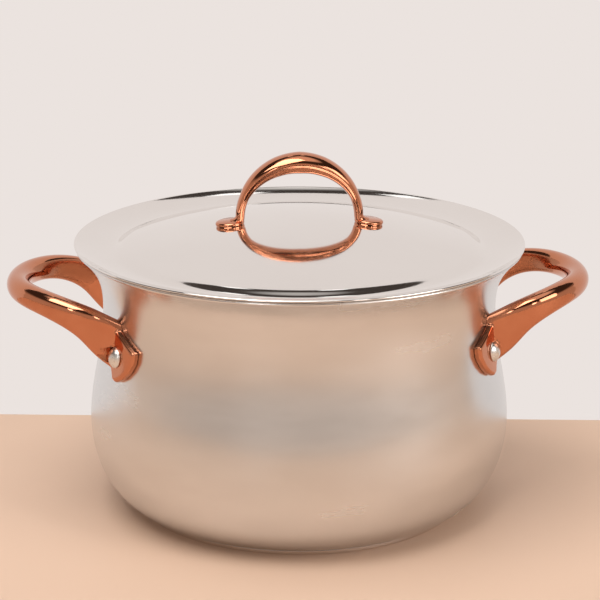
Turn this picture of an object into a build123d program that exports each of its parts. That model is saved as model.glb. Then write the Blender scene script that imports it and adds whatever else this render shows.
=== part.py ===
from build123d import *
from math import asin, atan2, cos, degrees, pi, radians, sin, sqrt
import os

# Two-handled bellied steel pot with a lift-off steel lid. Millimetres, +Z up.
# The origin is the centre of the foot, on the surface that the pot stands on.
# The side handles lie along X and the pot is symmetrical about the XZ and YZ planes.

# --- pot wall ---
WALL = 1.2                  # sheet thickness of the pot
FLOOR_Z = 3.0               # underside of the pot's floor
BELLY_R = 123.1             # widest radius
BELLY_Z = 52.0
CORNER_WIDTH = 33.3         # half axes of the elliptical lower corner
CORNER_HEIGHT = 50.5
SHOULDER_R = 118.9          # radius half-way between belly and neck
SHOULDER_Z = 84.5
NECK_R = 114.6
NECK_Z = 117.0
FLARE_R = 117.5             # where the flare starts to open
FLARE_Z = 138.6
RIM_R = 129.6
RIM_Z = 155.0
RIM_SLOPE = (1.09, 1.0)     # direction of the wall at the rim, radius against height
RIM_ROUND = 0.5

# --- layered base ---
CAP_R = 97.2                # steel cap that makes the foot
CAP_H = 2.4
CAP_SHEET = 0.8
CAP_EDGE = 1.1              # rounding of the foot's edge
CORE_R = 96.3               # aluminium disc under the floor
CORE_GAP = 0.05             # film around the disc, inside the cap

# --- lid ---
LID_SHEET = 1.0
LID_R = 130.0
LID_RIM_Z = 157.7           # top of the lid's rim
DOME_R = 400.0              # radius of the domed centre
DOME_TOP_Z = 168.2
DOME_EDGE_R = 101.0         # where the dome ends
VALLEY_R = 109.5            # lowest ring, between the step and the flange
VALLEY_Z = 152.5
FLANGE_SLOPE = 28.0         # degrees at the lid's rim
LID_ROUND = 0.4

# --- lid handle ---
PAD_R = 8.4
PAD_X = 40.2
PAD_H = 2.6
PAD_ROUND = 0.9
PAD_SINK = 1.0              # how far a pad is drawn into the dome before it is fitted
HANDLE_GAP = 0.05           # film between the handle and the dome
ARCH_X = 34.4               # half span of the arch's middle line at its feet
ARCH_FOOT_Z = LID_RIM_Z + 12.8
ARCH_RISE = 32.0
FOOT_DROP = 5.0             # length of each straight foot under the arch
FOOT_SECTION = (3.3, 5.0)   # half thickness and half width at a foot's lower end
# along the arch from foot to crown: angle, half thickness, half width
ARCH_SECTIONS = ((0, 2.7, 4.6), (22, 2.9, 5.6), (45, 4.2, 7.7), (68, 5.5, 9.0), (90, 6.2, 9.5))

# --- lid handle screws ---
SCREW_X = 34.4
SCREW_R = 1.97
SCREW_HOLE_R = 2.0
SHEET_HOLE_R = 2.1
SCREW_DEPTH = 4.6           # above the lid's sheet, in the handle's foot
SCREW_HEAD_R = 3.8
SCREW_HEAD_H = 2.4
SCREW_HEAD_ROUND = 1.0
SCREW_TIP_GAP = 0.3         # room beyond a screw's tip
SOCKET_R = 1.25             # hexagon socket, across corners / 2
SOCKET_DEPTH = 1.4
WASHER_R = 6.0
WASHER_H = 0.8
WASHER_GAP = 0.05           # film between a washer and the lid

# --- side handles: middle line of one limb, from inside the wall to the tip ---
# outwards, sideways, height, half width, half height of the bar there
LIMB_STATIONS = (
    (101.0, 45.8, 106.5, 4.6, 13.5),
    (110.0, 48.0, 113.0, 5.4, 12.2),
    (121.0, 49.4, 121.8, 6.3, 9.7),
    (136.0, 45.5, 129.2, 6.6, 7.7),
    (150.0, 34.5, 132.6, 6.6, 7.0),
    (160.0, 18.0, 133.4, 6.7, 6.9),
    (163.0, 0.0, 133.5, 6.8, 6.9),
)

# --- lugs and rivets ---
LUG_H = 4.2                 # plate thickness on the wall
LUG_GAP = 0.05              # film between lug and wall
RIVET_ANGLE = 27.1          # degrees from the handle's middle plane
RIVET_Z = 103.6
SHANK_R = 2.5
RIVET_HOLE_R = 2.53
HEAD_R = 5.9                # domed head outside
HEAD_H = 3.9
TAIL_R = 5.2                # flat head inside the pot
TAIL_H = 1.5
SEAT_GAP = 0.03             # film under a fastener's head
POCKET_GAP = 0.35           # room around a head where the bar runs past it
# lug outline around the rivet: sideways away from the handle's middle plane, and height
LUG_TOP = (-6.6, 17.6)
LUG_CORNER = (17.4, 6.6)
LUG_BULGE = (12.8, -6.4)
LUG_TIP = (1.6, -14.2)
LUG_BACK_LOW = (-2.4, -13.4)
LUG_BACK = (-10.6, 1.0)


def wall_edges():
    """The outside of the pot's wall from the floor's edge to the rim, in the XZ plane."""
    centre_r = BELLY_R - CORNER_WIDTH
    start = -degrees(asin((BELLY_Z - FLOOR_Z) / CORNER_HEIGHT))
    corner = EllipticalCenterArc((centre_r, BELLY_Z), CORNER_WIDTH, CORNER_HEIGHT, start, arc_size=-start)
    upper = Spline(
        (BELLY_R, BELLY_Z), (SHOULDER_R, SHOULDER_Z), (NECK_R, NECK_Z), (FLARE_R, FLARE_Z), (RIM_R, RIM_Z),
        tangents=((0, 1), RIM_SLOPE),
    )
    floor = Line((0, FLOOR_Z), corner @ 0)
    return floor, corner, upper


def moved(edge, gap, spans=8):
    """A copy of a drawn edge, moved to its right by gap."""
    points = []
    for step in range(spans + 1):
        point, along = edge @ (step / spans), edge % (step / spans)
        points.append((point.X + gap * along.Y, point.Y - gap * along.X))
    return Spline(*points, tangents=(edge % 0, edge % 1))


def spin(face):
    """Turns a face drawn as radius and height about the Z axis."""
    return revolve(Plane.XZ * face, Axis.Z)


def blank(gap=0.0):
    """A solid of everything inside the wall's outside surface, moved outwards by gap."""
    _, corner, upper = wall_edges()
    corner, upper = moved(corner, gap), moved(upper, gap)
    low, high = corner @ 0, upper @ 1
    closing = Polyline((high.X, high.Y), (0, high.Y), (0, low.Y), (low.X, low.Y))
    return spin(make_face(Wire([corner, upper, *closing.edges()])))


def wall_place(height):
    """Radius and outward tilt in degrees of the wall's outside at a height above the belly."""
    upper = wall_edges()[2]
    low, high = 0.0, 1.0
    for _ in range(40):
        middle = (low + high) / 2
        if (upper @ middle).Y < height:
            low = middle
        else:
            high = middle
    tangent = upper % low
    return (upper @ low).X, atan2(-tangent.X, tangent.Y)


def rivet_plane(side, end):
    """Plane on the wall at a rivet, facing outwards along the rivet's axis, its Y up the wall."""
    radius, tilt = wall_place(RIVET_Z)
    turn = radians(RIVET_ANGLE * end + (0 if side > 0 else 180))
    outwards = (cos(turn) * cos(tilt), sin(turn) * cos(tilt), sin(tilt))
    level = (-sin(turn), cos(turn), 0)
    return Plane((radius * cos(turn), radius * sin(turn), RIVET_Z), x_dir=level, z_dir=outwards)


def base_core():
    """Aluminium disc between the floor and the cap."""
    standing = (Align.CENTER, Align.CENTER, Align.MIN)
    return Pos(0, 0, CAP_SHEET) * Cylinder(CORE_R, FLOOR_Z - CAP_SHEET, align=standing)


def base_cap():
    """Shallow steel cup that holds the core and makes the flat foot."""
    standing = (Align.CENTER, Align.CENTER, Align.MIN)
    cup = Cylinder(CAP_R, CAP_H, align=standing)
    cup = fillet(cup.edges().sort_by(Axis.Z)[0], CAP_EDGE)
    return cup - Pos(0, 0, CAP_SHEET) * Cylinder(CORE_R + CORE_GAP, CAP_H, align=standing)


def pot_body(rivets):
    """Wall and floor of one sheet, with its rim rounded and its rivet holes cut."""
    floor, corner, upper = wall_edges()
    inner_corner, inner_upper = moved(corner, -WALL), moved(upper, -WALL)
    low = inner_corner @ 0
    edges = [
        floor, corner, upper, Line(upper @ 1, inner_upper @ 1), inner_upper, inner_corner,
        Polyline((low.X, low.Y), (0, low.Y), (0, FLOOR_Z)),
    ]
    section = make_face(Wire([part for edge in edges for part in edge.edges()]))
    body = spin(fillet(section.vertices().sort_by(Axis.Y)[-2:], RIM_ROUND))
    for plane in rivets:
        body -= plane * Cylinder(RIVET_HOLE_R, 6 * WALL)
    return body


def oval(half_x, half_y, count=8):
    """Smooth closed oval face through evenly turned points."""
    turns = [2 * pi * step / count for step in range(count)]
    ring = Spline(*[(half_x * cos(turn), half_y * sin(turn)) for turn in turns], periodic=True)
    return make_face(Wire([ring]))


def limb_section(station, tangent):
    """Oval section of the loop at one station, square to the bar."""
    out, sideways, height, half_width, half_height = station
    level = Vector(0, 0, 1).cross(tangent).normalized()
    plane = Plane(origin=(out, sideways, height), x_dir=level, z_dir=tangent)
    return plane * oval(half_width, half_height)


def loop_bar():
    """The bar of a side handle that points along +X, from lug to lug."""
    far = [(out, -sideways, *rest) for out, sideways, *rest in reversed(LIMB_STATIONS[:-1])]
    stations = [*LIMB_STATIONS, *far]
    path = Spline(*[station[:3] for station in stations])
    sections = []
    for station in stations:
        tangent = path.tangent_at(path.param_at_point(Vector(*station[:3])))
        sections.append(limb_section(station, tangent))
    return loft(sections)


def lug_outline(end):
    """Shield outline of a lug around its rivet; end is +1 or -1 for the limb's side."""
    def at(point):
        return (point[0] * end, point[1])
    edges = [
        Line(at(LUG_TOP), at(LUG_CORNER)),
        ThreePointArc(at(LUG_CORNER), at(LUG_BULGE), at(LUG_TIP)),
        Line(at(LUG_TIP), at(LUG_BACK_LOW)),
        Line(at(LUG_BACK_LOW), at(LUG_BACK)),
        Line(at(LUG_BACK), at(LUG_TOP)),
    ]
    return make_face(Wire(edges))


def side_handle(side, inner_blank, outer_blank):
    """Cast loop with a lug at each end that fits the pot's wall."""
    handle = loop_bar() if side > 0 else Rot(0, 0, 180) * loop_bar()
    skin = outer_blank - inner_blank
    planes = [rivet_plane(side, end) for end in (1, -1)]
    for end, plane in zip((1, -1), planes):
        prism = extrude(plane * Pos(0, 0, -LUG_H) * lug_outline(end), 3 * LUG_H)
        handle += prism & skin
    handle -= inner_blank
    for plane in planes:
        handle -= plane * Cylinder(RIVET_HOLE_R, 6 * LUG_H)
        pocket = plane * Cylinder(HEAD_R + POCKET_GAP, 6 * HEAD_H)
        handle -= pocket - outer_blank
    return handle


def rivet(plane, lug_blank, cavity_blank):
    """Rivet with a domed head outside the lug and a flat head inside the pot."""
    seat = LUG_GAP + LUG_H
    ball_r = (HEAD_R ** 2 + HEAD_H ** 2) / (2 * HEAD_H)
    upright = (Align.CENTER, Align.CENTER, Align.MIN)
    dome = Pos(0, 0, seat + HEAD_H - ball_r) * Sphere(ball_r)
    dome &= Pos(0, 0, seat - 1) * Cylinder(HEAD_R, HEAD_H + 2, align=upright)
    head = (plane * dome) - lug_blank
    tail = Pos(0, 0, -WALL - TAIL_H) * Cylinder(TAIL_R, TAIL_H + 1, align=upright)
    tail = (plane * tail) & cavity_blank
    shank_h = WALL + TAIL_H / 2 + seat + HEAD_H / 2
    shank = Pos(0, 0, -WALL - TAIL_H / 2) * Cylinder(SHANK_R, shank_h, align=upright)
    return head + plane * shank + tail


def dome_place(x):
    """Location on the lid's dome at x, its Z along the dome's outward normal."""
    turn = degrees(asin(x / DOME_R))
    centre = Location((0, 0, DOME_TOP_Z - DOME_R))
    return centre * Location((0, 0, 0), (0, turn, 0)) * Location((0, 0, DOME_R))


def lid_shell():
    """Lid of one sheet: rim, concave flange, valley, step and domed centre."""
    edge_z = DOME_TOP_Z - DOME_R + sqrt(DOME_R ** 2 - DOME_EDGE_R ** 2)
    half = DOME_EDGE_R / 2
    half_z = DOME_TOP_Z - DOME_R + sqrt(DOME_R ** 2 - half ** 2)
    dome = ThreePointArc((0, DOME_TOP_Z), (half, half_z), (DOME_EDGE_R, edge_z))
    fall = asin(DOME_EDGE_R / DOME_R)
    step = Spline((DOME_EDGE_R, edge_z), (VALLEY_R, VALLEY_Z), tangents=((cos(fall), -sin(fall)), (1, 0)))
    slope = radians(FLANGE_SLOPE)
    flange = Spline((VALLEY_R, VALLEY_Z), (LID_R, LID_RIM_Z), tangents=((1, 0), (cos(slope), sin(slope))))
    line = (dome, step, flange)
    under = [moved(edge, LID_SHEET) for edge in line]
    axis_edge = Line((0, DOME_TOP_Z), (0, DOME_TOP_Z - LID_SHEET))
    edges = [*line, Line(flange @ 1, under[-1] @ 1), *under, axis_edge]
    section = make_face(Wire([part for edge in edges for part in edge.edges()]))
    shell = spin(fillet(section.vertices().sort_by(Axis.X)[-2:], LID_ROUND))
    for x in (-SCREW_X, SCREW_X):
        shell -= dome_place(x) * Cylinder(SHEET_HOLE_R, 6 * LID_SHEET)
    return shell


def arch_bar():
    """Arched strap of the lid handle, widest and thickest at its crown."""
    rising = [(angle, *size) for angle, *size in ARCH_SECTIONS]
    falling = [(180 - angle, *size) for angle, *size in reversed(ARCH_SECTIONS[:-1])]
    near_foot = Plane((ARCH_X, 0, ARCH_FOOT_Z - FOOT_DROP), x_dir=(1, 0, 0), z_dir=(0, 0, 1))
    sections = [(near_foot, *FOOT_SECTION)]
    for angle, half_thick, half_wide in [*rising, *falling]:
        turn = radians(angle)
        place = (ARCH_X * cos(turn), 0, ARCH_FOOT_Z + ARCH_RISE * sin(turn))
        along = Vector(-ARCH_X * sin(turn), 0, ARCH_RISE * cos(turn)).normalized()
        across = along.cross(Vector(0, 1, 0)) * -1
        sections.append((Plane(place, x_dir=across, z_dir=along), half_thick, half_wide))
    far_foot = Plane((-ARCH_X, 0, ARCH_FOOT_Z - FOOT_DROP), x_dir=(-1, 0, 0), z_dir=(0, 0, -1))
    sections.append((far_foot, *FOOT_SECTION))
    return loft([plane * oval(thick, wide) for plane, thick, wide in sections])


def lid_handle():
    """Cast arch with a round pad at each foot, drilled from beneath for its screws."""
    handle = arch_bar()
    for x in (-PAD_X, PAD_X):
        pad = Cylinder(PAD_R, PAD_H + PAD_SINK, align=(Align.CENTER, Align.CENTER, Align.MIN))
        pad = fillet(pad.edges().sort_by(Axis.Z)[-1], PAD_ROUND)
        handle += dome_place(x) * Pos(0, 0, -PAD_SINK) * pad
    handle -= Pos(0, 0, DOME_TOP_Z - DOME_R) * Sphere(DOME_R + HANDLE_GAP)
    for x in (-SCREW_X, SCREW_X):
        handle -= dome_place(x) * Cylinder(SCREW_HOLE_R, 2 * (SCREW_DEPTH + SCREW_TIP_GAP))
    return handle


def lid_screw(x):
    """Pan-head screw with a hexagon socket, driven up from inside the lid."""
    under = -LID_SHEET - WASHER_GAP - WASHER_H - SEAT_GAP
    down = (Align.CENTER, Align.CENTER, Align.MAX)
    up = (Align.CENTER, Align.CENTER, Align.MIN)
    head = Pos(0, 0, under) * Cylinder(SCREW_HEAD_R, SCREW_HEAD_H, align=down)
    head = fillet(head.edges().sort_by(Axis.Z)[0], SCREW_HEAD_ROUND)
    socket = Pos(0, 0, under - SCREW_HEAD_H) * extrude(RegularPolygon(SOCKET_R, 6), SOCKET_DEPTH)
    shank = Pos(0, 0, under) * Cylinder(SCREW_R, SCREW_DEPTH - under, align=up)
    return dome_place(x) * (head - socket + shank)


def lid_washer(x):
    """Plain washer between the lid's sheet and a screw's head."""
    top = -LID_SHEET - WASHER_GAP
    down = (Align.CENTER, Align.CENTER, Align.MAX)
    ring = Pos(0, 0, top) * Cylinder(WASHER_R, WASHER_H, align=down)
    ring -= Pos(0, 0, top) * Cylinder(SHEET_HOLE_R, 3 * WASHER_H)
    return dome_place(x) * ring


def build():
    """Makes every sub-part and returns them by node name."""
    contact = blank(LUG_GAP)
    lug_outside = blank(LUG_GAP + LUG_H)
    head_seat = blank(LUG_GAP + LUG_H + SEAT_GAP)
    cavity = blank(-(WALL + SEAT_GAP))
    sides = {"left": -1, "right": 1}
    # on both sides the front is towards -Y
    ends = {"front": -1, "rear": 1}
    parts = {"base_cap": base_cap(), "base_core": base_core()}
    planes = {}
    for side_name, side in sides.items():
        parts[f"side_handle_{side_name}"] = side_handle(side, contact, lug_outside)
        for end_name, end in ends.items():
            planes[side_name, end_name] = rivet_plane(side, end * side)
    parts["pot_body"] = pot_body(planes.values())
    for (side_name, end_name), plane in planes.items():
        parts[f"rivet_{side_name}_{end_name}"] = rivet(plane, head_seat, cavity)
    parts["lid_shell"] = lid_shell()
    parts["lid_handle"] = lid_handle()
    for side_name, side in sides.items():
        parts[f"lid_screw_{side_name}"] = lid_screw(side * SCREW_X)
        parts[f"lid_washer_{side_name}"] = lid_washer(side * SCREW_X)
    return parts


os.makedirs("parts", exist_ok=True)
for name, shape in build().items():
    solids = shape.solids()
    export_step(solids[0] if len(solids) == 1 else Compound(solids), f"parts/{name}.step")
    print(name, len(solids), round(shape.volume, 1))
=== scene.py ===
import logging
import math
from dataclasses import dataclass
from enum import Enum
from typing import Any, Callable, Sequence

import bmesh
import bpy
import numpy as np
from mathutils import Matrix, Vector


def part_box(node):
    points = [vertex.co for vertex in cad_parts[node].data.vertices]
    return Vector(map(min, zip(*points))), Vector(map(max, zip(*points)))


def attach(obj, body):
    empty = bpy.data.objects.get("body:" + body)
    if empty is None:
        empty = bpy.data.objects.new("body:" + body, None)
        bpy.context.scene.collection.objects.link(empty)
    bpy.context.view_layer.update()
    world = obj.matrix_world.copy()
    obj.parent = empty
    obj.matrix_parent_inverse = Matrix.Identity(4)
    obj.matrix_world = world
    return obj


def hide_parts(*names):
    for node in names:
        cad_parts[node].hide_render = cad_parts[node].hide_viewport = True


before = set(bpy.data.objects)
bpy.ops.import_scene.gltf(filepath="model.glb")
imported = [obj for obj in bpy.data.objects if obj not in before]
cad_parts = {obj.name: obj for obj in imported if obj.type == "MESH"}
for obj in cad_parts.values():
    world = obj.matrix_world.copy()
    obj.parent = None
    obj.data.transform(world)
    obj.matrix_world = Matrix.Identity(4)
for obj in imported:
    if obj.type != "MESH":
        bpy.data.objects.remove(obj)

# Two-handled bellied steel pot with a lift-off steel lid, in metres, +Z up.
# The side handles lie along X, and the front is towards -Y.

log = logging.getLogger("pot")
Colour = tuple[float, float, float]
Section = Callable[[int, float], tuple[float, float]]
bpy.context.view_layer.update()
FULL_TURN = 2 * math.pi
UP = Vector((0, 0, 1))


class Side(Enum):
    """Which side handle: the sign of its X."""

    LEFT = -1
    RIGHT = 1


class End(Enum):
    """Which end of a side handle: the sign of its Y."""

    FRONT = -1
    REAR = 1


# --- shader tools ---


class Reading:
    """A node's output that takes part in plain arithmetic."""

    def __init__(self, tree: bpy.types.NodeTree, socket: bpy.types.NodeSocket) -> None:
        """Wraps a socket of a tree."""
        self.tree, self.socket = tree, socket

    def _math(self, operation: str, first: Any, second: Any) -> "Reading":
        """Adds one Math node.

        Args:
            operation: The Math node's operation.
            first: A Reading or a number.
            second: A Reading or a number.

        Returns:
            The node's result.
        """
        node = self.tree.nodes.new("ShaderNodeMath")
        node.operation = operation
        for slot, value in enumerate((first, second)):
            if isinstance(value, Reading):
                self.tree.links.new(value.socket, node.inputs[slot])
            else:
                node.inputs[slot].default_value = value
        return Reading(self.tree, node.outputs[0])

    def __add__(self, other: Any) -> "Reading":
        """Self plus other."""
        return self._math("ADD", self, other)

    __radd__ = __add__

    def __sub__(self, other: Any) -> "Reading":
        """Self minus other."""
        return self._math("SUBTRACT", self, other)

    def __rsub__(self, other: Any) -> "Reading":
        """Other minus self."""
        return self._math("SUBTRACT", other, self)

    def __mul__(self, other: Any) -> "Reading":
        """Self times other."""
        return self._math("MULTIPLY", self, other)

    __rmul__ = __mul__

    def __pow__(self, other: Any) -> "Reading":
        """Self to the power of other."""
        return self._math("POWER", self, other)


class Recipe:
    """One material under construction."""

    def __init__(self, name: str) -> None:
        """Starts an empty material with an output node."""
        self.material = bpy.data.materials.new(name)
        self.material.use_nodes = True
        self.tree = self.material.node_tree
        self.tree.nodes.clear()
        self.output = self.node("ShaderNodeOutputMaterial")

    def node(self, kind: str, settings: dict[str, Any] | None = None, **sockets: Any) -> bpy.types.Node:
        """Adds a node.

        Args:
            kind: The node's type.
            settings: Attributes set first.
            sockets: Values or Readings by input name, with underscores for spaces.

        Returns:
            The new node.
        """
        node = self.tree.nodes.new(kind)
        for key, value in (settings or {}).items():
            setattr(node, key, value)
        for key, value in sockets.items():
            socket = node.inputs[key.replace("_", " ")]
            if isinstance(value, Reading):
                self.tree.links.new(value.socket, socket)
            else:
                socket.default_value = value
        return node

    def read(self, node: bpy.types.Node, output: str | int = 0) -> Reading:
        """The node's named or numbered output."""
        return Reading(self.tree, node.outputs[output])

    def place(self) -> Reading:
        """The place on the object, in metres."""
        return self.read(self.node("ShaderNodeTexCoord"), "Object")

    def noise(self, vector: Reading, scale: float, detail: float = 3.0, warp: float = 0.0) -> Reading:
        """Smooth noise around one half.

        Args:
            vector: Where the noise is read.
            scale: Waves per metre.
            detail: Octaves.
            warp: Distortion of the pattern.

        Returns:
            A value from 0 to 1.
        """
        made = self.node(
            "ShaderNodeTexNoise", None, Vector=vector, Scale=scale, Detail=detail, Distortion=warp
        )
        return self.read(made, "Fac")

    def stretched(self, vector: Reading, scales: Colour) -> Reading:
        """The vector with each part scaled, for a pattern with a direction."""
        made = self.node("ShaderNodeVectorMath", {"operation": "MULTIPLY"})
        self.tree.links.new(vector.socket, made.inputs[0])
        made.inputs[1].default_value = scales
        return self.read(made)

    def around(self, vector: Reading, ring: float, rise: float) -> Reading:
        """Coordinates that don't change around the Z axis, for turned and spun surfaces.

        Args:
            vector: Object coordinates.
            ring: Scale on the radius.
            rise: Scale on the height.

        Returns:
            A vector of scaled radius and height.
        """
        length = self.node("ShaderNodeVectorMath", {"operation": "LENGTH"})
        self.tree.links.new(self.stretched(vector, (1, 1, 0)).socket, length.inputs[0])
        height = self.node("ShaderNodeSeparateXYZ", None, Vector=vector)
        joined = self.node(
            "ShaderNodeCombineXYZ",
            None,
            X=self.read(length, "Value") * ring,
            Z=self.read(height, "Z") * rise,
        )
        return self.read(joined)

    def blend(self, amount: Reading, low: Colour, high: Colour) -> Reading:
        """A colour between two, by amount."""
        mix = self.node("ShaderNodeMix", {"data_type": "RGBA"})
        self.tree.links.new(amount.socket, mix.inputs[0])
        mix.inputs[6].default_value, mix.inputs[7].default_value = (*low, 1), (*high, 1)
        return self.read(mix, 2)

    def bump(self, height: Reading, distance: float, strength: float) -> Reading:
        """A normal from a height."""
        made = self.node("ShaderNodeBump", None, Height=height, Distance=distance, Strength=strength)
        return self.read(made, "Normal")

    def surface(self, **sockets: Any) -> bpy.types.Material:
        """Finishes the material with a Principled surface of these sockets."""
        shader = self.node("ShaderNodeBsdfPrincipled", None, **sockets)
        self.tree.links.new(shader.outputs[0], self.output.inputs["Surface"])
        return self.material

    def glow(self, colour: Any, strength: float) -> bpy.types.Material:
        """Finishes the material as a plain light."""
        shader = self.node("ShaderNodeEmission", None, Color=colour, Strength=strength)
        self.tree.links.new(shader.outputs[0], self.output.inputs["Surface"])
        return self.material


@dataclass(frozen=True)
class SpunSteel:
    """Polished stainless sheet, with rings of polishing and soft, drawn-out hazy patches."""

    name: str
    light: Colour = (0.84, 0.80, 0.77)
    dark: Colour = (0.74, 0.69, 0.65)
    smooth: float = 0.06
    haze: float = 0.08
    patch_scale: float = 14.0
    streak: Colour = (1.0, 1.0, 3.2)
    swirl: float = 0.0
    ring_scale: float = 2600.0
    ring_haze: float = 0.02
    ring_depth: float = 2e-6
    sag_depth: float = 2e-5

    def make(self) -> bpy.types.Material:
        """Builds the material."""
        recipe = Recipe(self.name)
        place = recipe.place()
        patches = recipe.noise(recipe.stretched(place, self.streak), self.patch_scale, 4.0, self.swirl)
        rings = recipe.noise(recipe.around(place, 1.0, 1.0), self.ring_scale, 2.0)
        waves = recipe.noise(place, self.patch_scale, 1.0)
        fine = recipe.bump(rings, self.ring_depth, 0.35)
        relief = recipe.node(
            "ShaderNodeBump", None, Height=waves, Distance=self.sag_depth, Strength=1.0, Normal=fine
        )
        return recipe.surface(
            Base_Color=recipe.blend(patches, self.dark, self.light),
            Metallic=1.0,
            Roughness=patches * self.haze + rings * self.ring_haze + self.smooth,
            Normal=recipe.read(relief, "Normal"),
        )


@dataclass(frozen=True)
class CopperCoat:
    """Cast metal with a polished copper-coloured coating."""

    name: str
    light: Colour = (0.66, 0.28, 0.16)
    dark: Colour = (0.57, 0.21, 0.11)
    smooth: float = 0.05
    haze: float = 0.06
    patch_scale: float = 60.0
    grain_scale: float = 900.0
    grain_depth: float = 2e-6

    def make(self) -> bpy.types.Material:
        """Builds the material."""
        recipe = Recipe(self.name)
        place = recipe.place()
        patches = recipe.noise(place, self.patch_scale, 2.0, 0.8)
        grain = recipe.noise(place, self.grain_scale, 2.0)
        return recipe.surface(
            Base_Color=recipe.blend(patches, self.dark, self.light),
            Metallic=1.0,
            Roughness=patches * self.haze + self.smooth,
            Normal=recipe.bump(grain, self.grain_depth, 0.3),
        )


@dataclass(frozen=True)
class SatinMetal:
    """Plain metal with a fine satin grain."""

    name: str
    light: Colour
    dark: Colour
    smooth: float = 0.22
    haze: float = 0.14
    grain_scale: float = 1400.0
    grain_depth: float = 8e-6

    def make(self) -> bpy.types.Material:
        """Builds the material."""
        recipe = Recipe(self.name)
        grain = recipe.noise(recipe.place(), self.grain_scale, 3.0)
        return recipe.surface(
            Base_Color=recipe.blend(grain, self.dark, self.light),
            Metallic=1.0,
            Roughness=grain * self.haze + self.smooth,
            Normal=recipe.bump(grain, self.grain_depth, 0.5),
        )


@dataclass(frozen=True)
class PlainPaint:
    """Matt paint for the floor."""

    name: str
    colour: Colour
    shade: Colour
    rough: float = 0.6

    def make(self) -> bpy.types.Material:
        """Builds the material."""
        recipe = Recipe(self.name)
        cloud = recipe.noise(recipe.place(), 3.0, 2.0)
        return recipe.surface(Base_Color=recipe.blend(cloud, self.shade, self.colour), Roughness=self.rough)


@dataclass(frozen=True)
class PlainGlow:
    """An even light for the backdrop and the panels."""

    name: str
    colour: Colour
    strength: float = 1.0

    def make(self) -> bpy.types.Material:
        """Builds the material."""
        return Recipe(self.name).glow((*self.colour, 1.0), self.strength)


# --- mesh tools ---


def smooth_line(
    points: Sequence[Sequence[float]], count: int, start: Any = None, end: Any = None
) -> np.ndarray:
    """Samples the smooth curve through points, spaced by chord length.

    Args:
        points: The points that the curve goes through.
        count: How many samples to return.
        start: Direction at the first point, or None for a free end.
        end: Direction at the last point, or None for a free end.

    Returns:
        One row for each sample.
    """
    knots = np.array(points, float)
    gaps = np.linalg.norm(np.diff(knots, axis=0), axis=1)
    at = np.r_[0, np.cumsum(gaps)]
    last = len(knots) - 1
    matrix, right = np.zeros((last + 1, last + 1)), np.zeros_like(knots)
    slopes = np.diff(knots, axis=0) / gaps[:, None]
    for i in range(1, last):
        before, after = gaps[i - 1], gaps[i]
        matrix[i, i - 1 : i + 2] = after, 2 * (before + after), before
        right[i] = 3 * (after * slopes[i - 1] + before * slopes[i])
    for row, direction, neighbour, slope in ((0, start, 1, slopes[0]), (last, end, last - 1, slopes[-1])):
        if direction is None:
            matrix[row, row], matrix[row, neighbour], right[row] = 2, 1, 3 * slope
        else:
            matrix[row, row] = 1
            right[row] = np.array(direction, float) / np.linalg.norm(direction)
    tangents = np.linalg.solve(matrix, right)
    samples = np.linspace(0, at[-1], count)
    span = np.clip(np.searchsorted(at, samples, side="right") - 1, 0, last - 1)
    gap = gaps[span][:, None]
    t = ((samples - at[span])[:, None]) / gap
    low, high = knots[span], knots[span + 1]
    return (
        (2 * t**3 - 3 * t**2 + 1) * low
        + (t**3 - 2 * t**2 + t) * gap * tangents[span]
        + (3 * t**2 - 2 * t**3) * high
        + (t**3 - t**2) * gap * tangents[span + 1]
    )


def offset_line(line: np.ndarray, gap: float) -> np.ndarray:
    """A flat line moved to its left by gap, point by point."""
    along = np.gradient(line, axis=0)
    along /= np.linalg.norm(along, axis=1)[:, None]
    return line + gap * np.stack([-along[:, 1], along[:, 0]], axis=1)


def hill(at: float, size: float, middle: float, width: float) -> float:
    """Height at a place of a smooth hill."""
    return size * math.exp(-(((at - middle) / width) ** 2))


def edge_round(first: np.ndarray, last: np.ndarray, bulge: float, count: int = 7) -> np.ndarray:
    """Points of a rounded sheet edge from first to last, standing out by bulge to the right of that way."""
    middle, half = (first + last) / 2, (last - first) / 2
    out = np.array([half[1], -half[0]]) / np.linalg.norm(half)
    turns = np.linspace(0, math.pi, count)[1:-1]
    return np.array([middle - math.cos(a) * half + math.sin(a) * bulge * out for a in turns])


def spun(line: Sequence[Sequence[float]], steps: int) -> bmesh.types.BMesh:
    """Turns an outline of radius and height about Z.

    Args:
        line: The outline, from one end on the axis to the other, or closed when both ends meet.
        steps: Facets around.

    Returns:
        The closed mesh, facing outwards.
    """
    bm = bmesh.new()
    verts = [bm.verts.new((radius, 0, height)) for radius, height in line]
    edges = [bm.edges.new(pair) for pair in zip(verts, verts[1:])]
    bmesh.ops.spin(
        bm, geom=verts + edges, cent=(0, 0, 0), axis=UP, angle=FULL_TURN, steps=steps, use_merge=True
    )
    bmesh.ops.remove_doubles(bm, verts=bm.verts[:], dist=1e-6)
    bmesh.ops.recalc_face_normals(bm, faces=bm.faces[:])
    return bm


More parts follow.
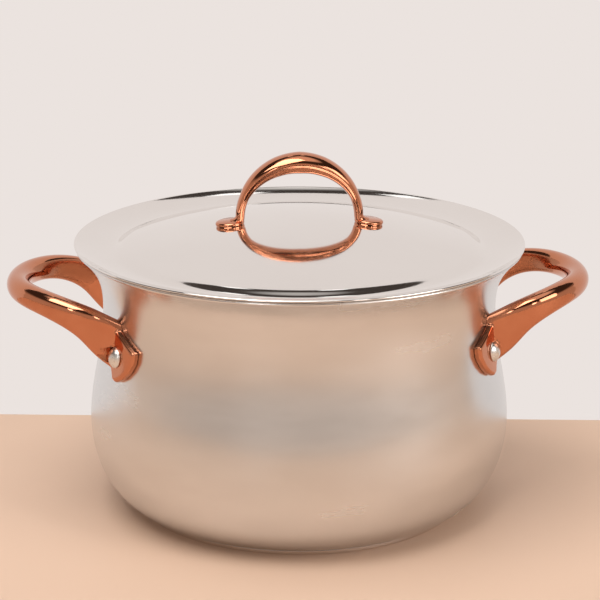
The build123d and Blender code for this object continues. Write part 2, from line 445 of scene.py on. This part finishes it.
def swept(places: Sequence[Matrix], shape: Section, ring: int) -> bmesh.types.BMesh:
    """Sweeps a changing closed section.

    Args:
        places: Where each section stands; its X and Y span the section.
        shape: Gives a section's point from the section's number and the turn around it.
        ring: Points around a section.

    Returns:
        The closed bar, facing outwards.
    """
    bm = bmesh.new()
    turn = bm.verts.layers.float.new("turn")
    verts = bmesh.ops.create_circle(bm, cap_ends=False, radius=1.0, segments=ring)["verts"]
    for vert in verts:
        vert[turn] = math.atan2(vert.co.y, vert.co.x)
    edges = bm.edges[:]
    first = edges
    for number, place in enumerate(places):
        if number:
            made = bmesh.ops.extrude_edge_only(bm, edges=edges)["geom"]
            verts = [item for item in made if isinstance(item, bmesh.types.BMVert)]
            known = set(verts)
            edges = [e for e in made if isinstance(e, bmesh.types.BMEdge) and set(e.verts) <= known]
        for vert in verts:
            across, along = shape(number, vert[turn])
            vert.co = place @ Vector((across, along, 0))
    for loop in (first, edges):
        bmesh.ops.contextual_create(bm, geom=loop)
    bmesh.ops.recalc_face_normals(bm, faces=bm.faces[:])
    return bm


def object_of(bm: bmesh.types.BMesh, name: str) -> bpy.types.Object:
    """Frees the bmesh into a new object."""
    mesh = bpy.data.meshes.new(name)
    bm.to_mesh(mesh)
    bm.free()
    made = bpy.data.objects.new(name, mesh)
    bpy.context.scene.collection.objects.link(made)
    return made


def settle(piece: bpy.types.Object) -> None:
    """Replaces a piece's mesh by what its modifiers make, and clears them."""
    bpy.context.view_layer.update()
    seen = piece.evaluated_get(bpy.context.evaluated_depsgraph_get())
    old, piece.data = piece.data, bpy.data.meshes.new_from_object(seen)
    piece.modifiers.clear()
    bpy.data.meshes.remove(old)
    piece.data.name = piece.name


def cast_together(
    parts: Sequence[bmesh.types.BMesh], name: str, grain: float, rounds: int
) -> bpy.types.Object:
    """Joins overlapping closed shapes into one casting with soft inner corners.

    Args:
        parts: Closed meshes, which are freed.
        name: The casting's name.
        grain: Size of the casting's facets, in metres.
        rounds: How often the surface is smoothed.

    Returns:
        The casting.
    """
    whole = bmesh.new()
    for part in parts:
        loose = bpy.data.meshes.new("part")
        part.to_mesh(loose)
        part.free()
        whole.from_mesh(loose)
        bpy.data.meshes.remove(loose)
    piece = object_of(whole, name)
    remesh = piece.modifiers.new("remesh", "REMESH")
    remesh.mode, remesh.voxel_size, remesh.use_smooth_shade = "VOXEL", grain, True
    soften = piece.modifiers.new("soften", "SMOOTH")
    soften.factor, soften.iterations = 0.5, rounds
    settle(piece)
    return piece


def combine(piece: bpy.types.Object, bm: bmesh.types.BMesh, operation: str) -> None:
    """Joins a closed shape to a piece, or cuts it out.

    Args:
        piece: The piece, which is changed.
        bm: The closed shape, which is freed.
        operation: The Boolean's operation.
    """
    tool = object_of(bm, "tool")
    step = piece.modifiers.new("combine", "BOOLEAN")
    step.operation, step.solver, step.object = operation, "EXACT", tool
    settle(piece)
    bpy.data.objects.remove(tool)


def present(
    piece: bpy.types.Object, body: str, nodes: Sequence[str],
    material: bpy.types.Material, crease: float = 35.0,
) -> bpy.types.Object:
    """Dresses a finished piece, and puts it in its CAD nodes' place.

    Args:
        piece: The finished object, at the origin.
        body: The CAD body that it rides on.
        nodes: The CAD nodes that it stands for.
        material: Its finish.
        crease: Edges that bend by more degrees than this stay sharp.

    Returns:
        The piece.
    """
    mesh = piece.data
    mesh.materials.clear()
    mesh.materials.append(material)
    bm = bmesh.new()
    bm.from_mesh(mesh)
    for face in bm.faces:
        face.smooth = True
    for edge in bm.edges:
        edge.smooth = len(edge.link_faces) < 2 or edge.calc_face_angle(0.0) < math.radians(crease)
    bm.to_mesh(mesh)
    bm.free()
    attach(piece, body)
    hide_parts(*nodes)
    log.info("%s: %d faces for %s", piece.name, len(mesh.polygons), ", ".join(nodes))
    return piece


# --- the pot ---


@dataclass
class PotWall:
    """The pot's sheet: its outside line, and where a height lies on it."""

    sheet: float = 0.0012
    floor_z: float = 0.003
    belly: tuple[float, float] = (0.1231, 0.052)
    corner: tuple[float, float] = (0.0333, 0.0505)
    shoulder: tuple[float, float] = (0.1189, 0.0845)
    neck: tuple[float, float] = (0.1146, 0.117)
    flare: tuple[float, float] = (0.1175, 0.1386)
    rim: tuple[float, float] = (0.1296, 0.155)
    rim_slope: tuple[float, float] = (1.09, 1.0)
    lip_bulge: float = 0.0003
    floor_ring: float = 0.05
    around: int = 224

    def outside(self) -> np.ndarray:
        """Radius and height down the outside, from the floor's edge to the rim."""
        centre = self.belly[0] - self.corner[0]
        start = -math.asin((self.belly[1] - self.floor_z) / self.corner[1])
        low = [
            (centre + self.corner[0] * math.cos(a), self.belly[1] + self.corner[1] * math.sin(a))
            for a in np.linspace(start, 0, 28)
        ]
        marks = (self.belly, self.shoulder, self.neck, self.flare, self.rim)
        high = smooth_line(marks, 60, (0, 1), self.rim_slope)
        return np.vstack([low[:-1], high])

    def __post_init__(self) -> None:
        """Keeps the upper wall's line, which many points are fitted to."""
        line = self.outside()
        self.upper = line[line[:, 1] >= self.belly[1]]
        self.tilts = np.arctan2(-np.gradient(self.upper[:, 0]), np.gradient(self.upper[:, 1]))

    def at(self, height: float) -> tuple[float, float]:
        """The outside's radius and outward tilt in radians at a height above the belly."""
        heights = self.upper[:, 1]
        radius = np.interp(height, heights, self.upper[:, 0])
        return float(radius), float(np.interp(height, heights, self.tilts))

    def build(self, finish: SpunSteel) -> None:
        """Builds the wall and floor as one spun sheet."""
        outer = self.outside()
        inner = offset_line(outer, self.sheet)
        lip = edge_round(outer[-1], inner[-1], self.lip_bulge)
        floor_z, inner_z = outer[0][1], inner[0][1]
        line = [(0.0, floor_z), (self.floor_ring, floor_z), *outer, *lip, *inner[::-1]]
        line += [(self.floor_ring, inner_z), (0.0, inner_z)]
        piece = object_of(spun(line, self.around), "pot_shell")
        present(piece, "pot", ["pot_body"], finish.make())


@dataclass
class BaseCup:
    """Shallow steel cup under the floor, with a rounded foot."""

    edge: float = 0.0011
    sheet: float = 0.0008
    core_gap: float = 0.00005
    around: int = 192

    def build(self, finish: SpunSteel) -> None:
        """Builds the cup from its CAD box."""
        low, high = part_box("base_cap")
        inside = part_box("base_core")[1].x + self.core_gap
        turns = np.linspace(0, math.pi / 2, 7)
        foot = [
            (high.x - self.edge * (1 - math.sin(a)), low.z + self.edge * (1 - math.cos(a))) for a in turns
        ]
        recess = [(inside, high.z), (inside, self.sheet), (0, self.sheet)]
        line = [(0, low.z), *foot, (high.x, high.z), *recess]
        piece = object_of(spun(line, self.around), "base_cup")
        present(piece, "pot", ["base_cap"], finish.make())


@dataclass
class RivetPlace:
    """Where the rivets stand on the wall, and a frame at one of them."""

    wall: PotWall
    angle: float = math.radians(27.1)
    height: float = 0.1036

    def frame(self, side: Side, end: End) -> Matrix:
        """A frame on the wall's outside at a rivet.

        Args:
            side: Which side handle.
            end: Which end of it.

        Returns:
            X runs level, away from the handle's middle plane; Y up the wall; Z out of it.
        """
        radius, tilt = self.wall.at(self.height)
        turn = math.atan2(end.value * math.sin(self.angle), side.value * math.cos(self.angle))
        flat = Vector((math.cos(turn), math.sin(turn), 0))
        out = flat * math.cos(tilt) + UP * math.sin(tilt)
        level = Vector((-math.sin(turn), math.cos(turn), 0))
        level *= 1 if level.y * end.value > 0 else -1
        up = (UP - out * UP.dot(out)).normalized()
        frame3 = Matrix((level, up, out)).transposed()
        return Matrix.Translation(flat * radius + UP * self.height) @ frame3.to_4x4()


@dataclass
class Rivets:
    """Four solid rivets with domed heads outside and low heads inside."""

    seats: RivetPlace
    head_r: float = 0.0059
    head_h: float = 0.0039
    shank_r: float = 0.0025
    tail_r: float = 0.0052
    tail_h: float = 0.0015
    seat: float = 0.00425
    edge: float = 0.0006

    def outline(self) -> list[tuple[float, float]]:
        """Radius and height of half a rivet, from the tail's middle to the head's."""
        tail = -self.seats.wall.sheet - self.tail_h
        rise = self.head_h - self.edge
        ball = (self.head_r**2 + rise**2) / (2 * rise)
        spread = math.asin(self.head_r / ball)
        top = self.seat + self.head_h
        dome = [(ball * math.sin(a), top - ball * (1 - math.cos(a))) for a in np.linspace(spread, 0, 14)]
        return [
            (0, tail), (self.tail_r - self.edge, tail), (self.tail_r - self.edge / 4, tail + self.edge / 4),
            (self.tail_r, tail + self.edge), (self.tail_r, tail + self.tail_h),
            (self.shank_r, tail + self.tail_h), (self.shank_r, self.seat),
            (self.head_r - self.edge / 3, self.seat),
            (self.head_r, self.seat + self.edge / 2), *dome,
        ]

    def build(self, finish: SatinMetal) -> None:
        """Builds and places the four rivets."""
        material = finish.make()
        for side in Side:
            for end in End:
                node = f"rivet_{side.name.lower()}_{end.name.lower()}"
                bm = spun(self.outline(), 48)
                bmesh.ops.transform(bm, matrix=self.seats.frame(side, end), verts=bm.verts[:])
                bmesh.ops.recalc_face_normals(bm, faces=bm.faces[:])
                present(object_of(bm, f"{node}_dome"), "pot", [node], material)


@dataclass
class SideHandle:
    """Cast loop whose bar swells into two lugs that are riveted to the wall."""

    seats: RivetPlace
    lug_h: float = 0.0042
    gap: float = 0.00005
    pocket_r: float = 0.00625
    pocket_floor: float = 0.0043
    pocket_tool: float = 0.03
    grain: float = 0.0005
    rounds: int = 14
    root_cut: float = 0.0006
    root_zone: float = 0.030
    root_square: float = 0.7
    root_hollow: float = 0.16
    bevel: float = 0.0016
    # outwards, sideways, height, half width and half height of the bar there
    stations: tuple[tuple[float, ...], ...] = (
        (0.101, 0.0458, 0.1065, 0.0046, 0.0135),
        (0.110, 0.048, 0.113, 0.0054, 0.0122),
        (0.121, 0.0494, 0.1218, 0.0063, 0.0097),
        (0.136, 0.0455, 0.1292, 0.0066, 0.0077),
        (0.150, 0.0345, 0.1326, 0.0066, 0.0070),
        (0.160, 0.018, 0.1334, 0.0067, 0.0069),
        (0.163, 0.0, 0.1335, 0.0068, 0.0069),
    )
    # sideways away from the handle's middle plane, and height, around the rivet
    lug: tuple[tuple[float, float], ...] = (
        (-0.0066, 0.0176), (0.0174, 0.0066), (0.0168, 0.0), (0.0128, -0.0064), (0.0076, -0.0112),
        (0.0016, -0.0142), (-0.0024, -0.0134), (-0.0106, 0.0010),
    )

    def bar(self) -> bmesh.types.BMesh:
        """The loop's bar, pointing along +X."""
        far = [(x, -y, *rest) for x, y, *rest in reversed(self.stations[:-1])]
        line = smooth_line([*self.stations, *far], 97)
        path, sizes = line[:, :3], line[:, 3:]
        along = np.gradient(path, axis=0)
        places = []
        for point, direction in zip(path, along):
            forward = Vector(direction).normalized()
            level = UP.cross(forward).normalized()
            turned = Matrix((level, forward.cross(level), forward)).transposed().to_4x4()
            places.append(Matrix.Translation(Vector(point)) @ turned)
        reach = float(np.max(path[:, 0]))

        def shape(number: int, turn: float) -> tuple[float, float]:
            """Oval at the tip, squarer and hollowed on its outer side towards the lug."""
            root = min(1.0, max(0.0, (reach - path[number, 0]) / (reach - self.stations[1][0])))
            power = 2 / (2.0 + self.root_square * root)
            c, s = math.cos(turn), math.sin(turn)
            half_w, half_h = sizes[number]
            x = math.copysign(abs(c) ** power, c) * half_w
            y = math.copysign(abs(s) ** power, s) * half_h
            outer = max(0.0, c) ** 6
            return x * (1 - self.root_hollow * root * outer), y

        return swept(places, shape, 56)

    def lug_plate(self, end: End) -> bmesh.types.BMesh:
        """One lug, bent to the wall, for the handle along +X."""
        bm = bmesh.new()
        face = bm.faces.new([bm.verts.new((x, y, self.gap)) for x, y in self.lug])
        made = bmesh.ops.extrude_face_region(bm, geom=[face])["geom"]
        top = [item for item in made if isinstance(item, bmesh.types.BMVert)]
        bmesh.ops.translate(bm, verts=top, vec=(0, 0, self.lug_h))
        bmesh.ops.recalc_face_normals(bm, faces=bm.faces[:])
        rim = [e for e in bm.edges if all(v.co.z > self.lug_h / 2 for v in e.verts)]
        bmesh.ops.bevel(
            bm, geom=rim, offset=self.bevel, segments=4, profile=0.5, affect="EDGES", material=-1
        )
        for axis, low, high in ((0, -0.010, 0.017), (1, -0.014, 0.017)):
            for cut in np.arange(low, high, 0.0025):
                at, across = [0.0, 0.0, 0.0], [0.0, 0.0, 0.0]
                at[axis], across[axis] = cut, 1.0
                bmesh.ops.bisect_plane(
                    bm, geom=bm.verts[:] + bm.edges[:] + bm.faces[:], plane_co=at, plane_no=across
                )
        frame3 = self.seats.frame(Side.RIGHT, end)
        for vert in bm.verts:
            flat = frame3 @ Vector((vert.co.x, vert.co.y, 0))
            vert.co = self.on_wall(flat, vert.co.z)
        bmesh.ops.recalc_face_normals(bm, faces=bm.faces[:])
        return bm

    def on_wall(self, point: Vector, depth: float) -> Vector:
        """The point at the same turn and height, at this distance out of the wall."""
        radius, tilt = self.seats.wall.at(point.z)
        flat = Vector((point.x, point.y, 0)).normalized()
        return flat * (radius + depth * math.cos(tilt)) + UP * (point.z + depth * math.sin(tilt))

    def trimmed_bar(self) -> bmesh.types.BMesh:
        """The bar with its roots cut off at the wall."""
        bm = self.bar()
        for end in End:
            frame3 = self.seats.frame(Side.RIGHT, end)
            out = frame3.to_3x3().col[2]
            near = [v for v in bm.verts if v.co.y * end.value > self.root_zone]
            known = set(near)
            limb = near + [part for part in bm.edges[:] + bm.faces[:] if known.issuperset(part.verts)]
            plane = frame3.translation + out * self.root_cut
            cut = bmesh.ops.bisect_plane(bm, geom=limb, plane_co=plane, plane_no=out, clear_inner=True)
            rim = [e for e in cut["geom_cut"] if isinstance(e, bmesh.types.BMEdge)]
            bmesh.ops.contextual_create(bm, geom=rim)
        bmesh.ops.recalc_face_normals(bm, faces=bm.faces[:])
        return bm

    def build(self, finish: CopperCoat) -> None:
        """Builds both handles."""
        material = finish.make()
        for side in Side:
            name = f"side_handle_{side.name.lower()}"
            parts = [self.trimmed_bar(), *[self.lug_plate(end) for end in End]]
            piece = cast_together(parts, f"{name}_casting", self.grain, self.rounds)
            for vert in piece.data.vertices:
                touch = self.on_wall(vert.co, self.gap)
                if vert.co.xy.length < touch.xy.length:
                    vert.co = touch
            for end in End:
                bm = bmesh.new()
                bmesh.ops.create_cone(
                    bm, cap_ends=True, segments=64, radius1=self.pocket_r, radius2=self.pocket_r,
                    depth=self.pocket_tool,
                )
                lift = Matrix.Translation((0, 0, self.pocket_floor + self.pocket_tool / 2))
                bmesh.ops.transform(bm, matrix=self.seats.frame(Side.RIGHT, end) @ lift, verts=bm.verts[:])
                combine(piece, bm, "DIFFERENCE")
            if side is Side.LEFT:
                piece.data.transform(Matrix.Rotation(math.pi, 4, "Z"))
            present(piece, "pot", [name], material, 50.0)


# --- the lid ---


@dataclass
class Lid:
    """Lid of one sheet: rim, concave flange, valley, step and domed centre."""

    sheet: float = 0.001
    rim: tuple[float, float] = (0.130, 0.1577)
    dome_r: float = 0.400
    dome_top: float = 0.1682
    dome_edge: float = 0.101
    valley: tuple[float, float] = (0.1095, 0.1525)
    flange_slope: float = math.radians(28)
    around: int = 240

    def dome_z(self, radius: float) -> float:
        """Height of the dome's outside at a radius."""
        return self.dome_top - self.dome_r + math.sqrt(self.dome_r**2 - radius**2)

    def build(self, finish: SpunSteel) -> None:
        """Builds the shell as one spun sheet."""
        dome = [(r, self.dome_z(r)) for r in np.linspace(0, self.dome_edge, 26)]
        fall = math.asin(self.dome_edge / self.dome_r)
        step = smooth_line((dome[-1], self.valley), 20, (math.cos(fall), -math.sin(fall)), (1, 0))
        slope = (math.cos(self.flange_slope), math.sin(self.flange_slope))
        flange = smooth_line((self.valley, self.rim), 30, (1, 0), slope)
        top = np.vstack([dome[:-1], step[:-1], flange])
        under = offset_line(top, -self.sheet)
        under[0][0] = 0.0
        lip = edge_round(under[-1], top[-1], 0.0003)[::-1]
        line = [*top, *lip, *under[::-1]]
        piece = object_of(spun(line, self.around), "lid_sheet")
        present(piece, "lid", ["lid_shell"], finish.make())


@dataclass
class LidHandle:
    """Cast arch on two round pads, with a bead along each lower edge."""

    lid: Lid
    pad_r: float = 0.0084
    pad_x: float = 0.0402
    pad_h: float = 0.0026
    arch_x: float = 0.0344
    foot_z: float = 0.1705
    rise: float = 0.032
    # along the arch from foot to crown: degrees, half thickness, half width
    sections: tuple[tuple[float, float, float], ...] = (
        (0, 0.0027, 0.0046), (22, 0.0029, 0.0056), (45, 0.0042, 0.0077), (68, 0.0055, 0.0090),
        (90, 0.0062, 0.0095),
    )
    # down each foot: drop below the arch, reach outwards, half thickness, half width
    foot: tuple[tuple[float, ...], ...] = (
        (0.0042, 0.0032, 0.0042, 0.0062), (0.0022, 0.0010, 0.0031, 0.0050),
    )
    # depth as a share of the section, where around it and how wide, in radians
    groove: tuple[float, float, float] = (0.11, 1.32, 0.24)
    bead: tuple[float, float, float] = (0.06, 0.86, 0.26)
    full_width: float = 0.0074

    def arch(self) -> bmesh.types.BMesh:
        """The arched strap, from pad to pad."""
        angles, thick, wide = zip(*self.sections)
        turns = np.linspace(0, math.pi, 91)
        rows = []
        for drop, reach, half_t, half_w in self.foot:
            rows.append((self.arch_x + reach, self.foot_z - drop, half_t, half_w))
        for turn in turns:
            from_foot = math.degrees(min(turn, math.pi - turn))
            x, z = self.arch_x * math.cos(turn), self.foot_z + self.rise * math.sin(turn)
            rows.append((x, z, *(float(np.interp(from_foot, angles, sizes)) for sizes in (thick, wide))))
        rows += [(-x, z, half_t, half_w) for x, z, half_t, half_w in reversed(rows[: len(self.foot)])]
        path = np.array([row[:2] for row in rows])
        along = np.gradient(path, axis=0)
        places = []
        for (x, z), (dx, dz) in zip(path, along):
            forward = Vector((dx, 0, dz)).normalized()
            across = Vector((0, -1, 0)).cross(forward) * -1
            turned = Matrix((across, forward.cross(across), forward)).transposed().to_4x4()
            places.append(Matrix.Translation((x, 0, z)) @ turned)

        def shape(number: int, turn: float) -> tuple[float, float]:
            """Crowned outer face, a groove on each side, and a bead at each lower edge."""
            half_t, half_w = rows[number][2:]
            strength = min(1.0, half_w / self.full_width)
            side = math.pi - abs(turn)
            size = 1 - strength * (hill(side, *self.groove) - hill(side, *self.bead))
            return half_t * math.cos(turn) * size, half_w * math.sin(turn) * size

        return swept(places, shape, 144)

    def pad(self, sign: int) -> bmesh.types.BMesh:
        """One round pad, standing on the dome."""
        line = [
            (0, -0.0006), (self.pad_r - 0.0004, -0.0006), (self.pad_r - 0.0002, 0.0004),
            (self.pad_r, 0.0010), (self.pad_r, 0.0017), (self.pad_r - 0.0004, 0.0023),
            (self.pad_r - 0.0012, self.pad_h), (0, self.pad_h),
        ]
        bm = spun(line, 96)
        lean = math.asin(self.pad_x / self.lid.dome_r) * sign
        centre = Matrix.Translation((0, 0, self.lid.dome_top - self.lid.dome_r))
        place = centre @ Matrix.Rotation(lean, 4, "Y") @ Matrix.Translation((0, 0, self.lid.dome_r))
        bmesh.ops.transform(bm, matrix=place, verts=bm.verts[:])
        return bm

    def build(self, finish: CopperCoat) -> None:
        """Builds the handle, seated on the dome."""
        piece = object_of(self.arch(), "lid_handle_casting")
        for sign in (-1, 1):
            combine(piece, self.pad(sign), "UNION")
        for vert in piece.data.vertices:
            floor = self.lid.dome_z(vert.co.xy.length) + 0.00005
            vert.co.z = max(vert.co.z, floor)
        present(piece, "lid", ["lid_handle"], finish.make(), 40.0)


def dress_hidden_parts() -> None:
    """Gives the carried-over CAD nodes their finishes."""
    steel = SatinMetal("screw_metal", (0.72, 0.72, 0.72), (0.60, 0.60, 0.61), 0.25).make()
    core = SatinMetal("core_metal", (0.74, 0.74, 0.75), (0.62, 0.62, 0.63), 0.35).make()
    chosen = {"base_core": core}
    for side in ("left", "right"):
        chosen[f"lid_screw_{side}"] = chosen[f"lid_washer_{side}"] = steel
    for node, material in chosen.items():
        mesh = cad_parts[node].data
        mesh.materials.clear()
        mesh.materials.append(material)
        log.info("%s: carried over with %s", node, material.name)


# --- the studio ---


@dataclass
class Studio:
    """Floor, backdrop, reflection panels, lights and camera."""

    distance: float = 1.2
    height: float = 0.4717
    aside: float = 0.0004
    pitch: float = 0.285
    roll: float = 0.0029
    turn: float = math.radians(3.8)
    lens: float = 128.0
    table_back: float = 0.134
    table_turn: float = math.radians(5.0)
    floor_size: tuple[float, float] = (3.0, 2.0)
    pane_size: tuple[float, float] = (0.24, 0.56)
    pane_place: tuple[float, float, float] = (0.42, 2.05, 2.7)
    window_size: tuple[float, float] = (0.5, 0.9)
    window_y: float = -2.9
    window_z: float = 1.5
    backdrop_width: float = 14.0
    backdrop_y: float = 1.9
    backdrop_z: tuple[float, float] = (-1.6, 2.4)
    # height on the unit sphere, and the room's light there
    air: tuple[tuple[float, Colour], ...] = (
        (0.0, (0.60, 0.50, 0.43)), (0.34, (0.57, 0.48, 0.42)), (0.54, (0.06, 0.045, 0.038)),
        (0.86, (0.05, 0.04, 0.035)), (0.93, (1.0, 0.95, 0.91)),
    )

    def board(
        self, name: str, size: tuple[float, float], place: Matrix, finish: Any, seen: bool = True
    ) -> None:
        """Adds a flat board to the stage.

        Args:
            name: Its name.
            size: Width and height.
            place: Its place; it faces along its own Z.
            finish: Its finish.
            seen: Whether the camera sees it.
        """
        bm = bmesh.new()
        bmesh.ops.create_grid(bm, x_segments=1, y_segments=1, size=0.5)
        bmesh.ops.scale(bm, vec=(*size, 1), verts=bm.verts[:])
        bmesh.ops.transform(bm, matrix=place, verts=bm.verts[:])
        made = object_of(bm, name)
        made.data.materials.append(finish.make())
        made.visible_camera = seen

    def soft_light(self, name: str, place: Vector, size: float, power: float, colour: Colour) -> None:
        """Adds a square soft light that faces the pot."""
        light = bpy.data.lights.new(name, "AREA")
        light.shape, light.size, light.energy, light.color = "SQUARE", size, power, colour
        made = bpy.data.objects.new(name, light)
        made.location = place
        made.rotation_euler = (Vector((0, 0, 0.08)) - place).to_track_quat("-Z", "Y").to_euler()
        bpy.context.scene.collection.objects.link(made)

    def camera(self) -> None:
        """Adds the camera, looking down at the pot's front."""
        ahead = Vector((0, math.cos(self.pitch), -math.sin(self.pitch)))
        up, right = Vector((0, math.sin(self.pitch), math.cos(self.pitch))), Vector((1, 0, 0))
        c, s = math.cos(self.roll), math.sin(self.roll)
        right, up = right * c + up * s, up * c - right * s
        turned = Matrix((right, up, -ahead)).transposed().to_4x4()
        made = bpy.data.objects.new("camera", bpy.data.cameras.new("camera"))
        made.data.lens, made.data.sensor_width = self.lens, 36.0
        made.matrix_world = (
            Matrix.Rotation(-self.turn, 4, "Z")
            @ Matrix.Translation((self.aside, -self.distance, self.height))
            @ turned
        )
        bpy.context.scene.collection.objects.link(made)
        bpy.context.scene.camera = made

    def room_air(self) -> bpy.types.World:
        """A room that is warm at eye level, dark above it and bright overhead."""
        world = bpy.data.worlds.new("room_air")
        world.use_nodes = True
        nodes, links = world.node_tree.nodes, world.node_tree.links
        way, split, ramp = (
            nodes.new(f"ShaderNode{kind}") for kind in ("TexCoord", "SeparateXYZ", "ValToRGB")
        )
        elements = ramp.color_ramp.elements
        while len(elements) < len(self.air):
            elements.new(0.5)
        for element, (height, colour) in zip(elements, self.air):
            element.position, element.color = height, (*colour, 1.0)
        links.new(way.outputs["Generated"], split.inputs[0])
        links.new(split.outputs["Z"], ramp.inputs[0])
        links.new(ramp.outputs[0], nodes["Background"].inputs[0])
        return world

    def build(self) -> None:
        """Sets the stage."""
        scene = bpy.context.scene
        scene.view_settings.view_transform = "Standard"
        self.camera()
        shift = Matrix.Translation((0, self.table_back - self.floor_size[1] / 2, 0))
        lying = Matrix.Rotation(-self.table_turn, 4, "Z") @ shift
        paint = PlainPaint("floor_paint", (0.74, 0.53, 0.40), (0.70, 0.50, 0.37))
        self.board("floor", self.floor_size, lying, paint)
        facing_front = Matrix.Rotation(math.pi / 2, 4, "X")
        low, high = self.backdrop_z
        wall = Matrix.Translation((0, self.backdrop_y, (low + high) / 2)) @ facing_front
        tone = PlainGlow("backdrop_light", (0.831, 0.768, 0.737))
        self.board("backdrop", (self.backdrop_width, high - low), wall, tone)
        x, y, z = self.pane_place
        for side in Side:
            name = f"pane_{side.name.lower()}"
            place = Matrix.Translation((side.value * x, y, z)) @ facing_front
            self.board(name, self.pane_size, place, PlainGlow(f"{name}_light", (1, 0.98, 0.96), 1.5), False)
        facing_back = Matrix.Rotation(-math.pi / 2, 4, "X")
        for name, x in (("window_left", -1.35), ("window_right", 1.5)):
            place = Matrix.Translation((x, self.window_y, self.window_z)) @ facing_back
            self.board(name, self.window_size, place, PlainGlow(f"{name}_light", (1, 0.97, 0.94), 5.0), False)
        scene.world = self.room_air()
        self.soft_light("overhead", Vector((-0.5, -0.5, 1.8)), 1.4, 26.0, (1, 0.97, 0.94))
        self.soft_light("fill", Vector((1.3, -0.9, 0.9)), 0.9, 9.0, (1, 0.96, 0.92))


def main() -> None:
    """Builds every sub-assembly in order."""
    Studio().build()
    steel = SpunSteel("wall_steel", (0.82, 0.83, 0.84), (0.62, 0.62, 0.62), 0.13, 0.20)
    lid_steel = SpunSteel(
        "lid_steel", light=(0.88, 0.86, 0.84), dark=(0.82, 0.79, 0.77), smooth=0.04, haze=0.05
    )
    copper = CopperCoat("copper_coat")
    rivet_steel = SatinMetal("rivet_metal", (0.82, 0.81, 0.79), (0.70, 0.69, 0.67))
    wall = PotWall()
    seats = RivetPlace(wall)
    wall.build(steel)
    BaseCup().build(SpunSteel("base_steel"))
    SideHandle(seats).build(copper)
    Rivets(seats).build(rivet_steel)
    lid = Lid()
    lid.build(lid_steel)
    LidHandle(lid).build(CopperCoat("lid_copper_coat"))
    dress_hidden_parts()


if __name__ == "__main__":
    logging.basicConfig(level=logging.INFO, format="%(name)s %(message)s")
    main()
